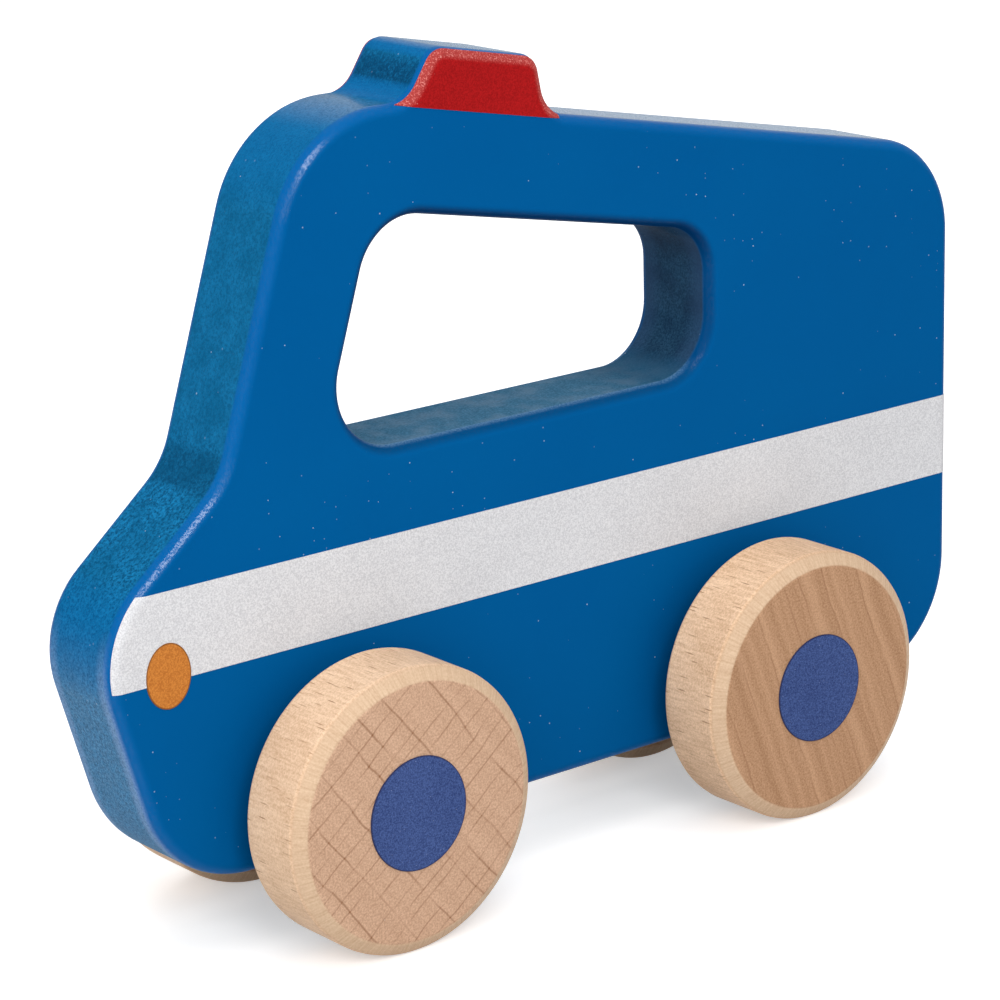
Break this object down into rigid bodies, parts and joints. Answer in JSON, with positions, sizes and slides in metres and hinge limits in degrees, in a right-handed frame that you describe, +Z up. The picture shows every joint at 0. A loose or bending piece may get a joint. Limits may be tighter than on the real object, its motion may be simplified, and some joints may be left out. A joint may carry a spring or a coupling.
{
  "type": "toy police car",
  "caption": "Push-along toy police van: a painted board with a grip window and a roof beacon, rolling on turned wooden wheels glued to dowel axles.",
  "frame": {"origin": "on the floor under the middle of the body: midway between nose and tail, on the board's middle plane, at the wheels' lowest point", "axes": "+X forward towards the nose, +Y to the toy's left, +Z up"},
  "size_m": [0.1528, 0.0472, 0.1176],
  "materials": {
    "board_paint": "fibreboard under satin blue paint",
    "stripe_ink": "finely speckled off-white print",
    "beacon_ink": "satin red print",
    "lamp_ink": "matt orange print",
    "hub_ink": "matt blue print with pores showing",
    "wheel_beech": "turned beech, oiled, end grain on the faces",
    "dowel_wood": "plain beech dowel",
    "washer_wood": "plain turned washer"
  },
  "bodies": {
    "body": {"body": "board_paint", "stripe_left": "stripe_ink", "stripe_right": "stripe_ink", "beacon_print_left": "beacon_ink", "beacon_print_right": "beacon_ink", "lamp_print_left": "lamp_ink", "lamp_print_right": "lamp_ink"},
    "front_wheelset": {"front_axle": "dowel_wood", "wheel_front_left": "wheel_beech", "wheel_front_right": "wheel_beech", "hub_print_front_left": "hub_ink", "hub_print_front_right": "hub_ink", "washer_front_left": "washer_wood", "washer_front_right": "washer_wood"},
    "rear_wheelset": {"rear_axle": "dowel_wood", "wheel_rear_left": "wheel_beech", "wheel_rear_right": "wheel_beech", "hub_print_rear_left": "hub_ink", "hub_print_rear_right": "hub_ink", "washer_rear_left": "washer_wood", "washer_rear_right": "washer_wood"}
  },
  "joints": [
    {"name": "front_roll", "type": "hinge", "parent": "body", "child": "front_wheelset", "pos_m": [0.03958, 0, 0.02], "axis": [0, 1, 0], "continuous": true},
    {"name": "rear_roll", "type": "hinge", "parent": "body", "child": "rear_wheelset", "pos_m": [-0.03377, 0, 0.02], "axis": [0, 1, 0], "continuous": true}
  ]
}
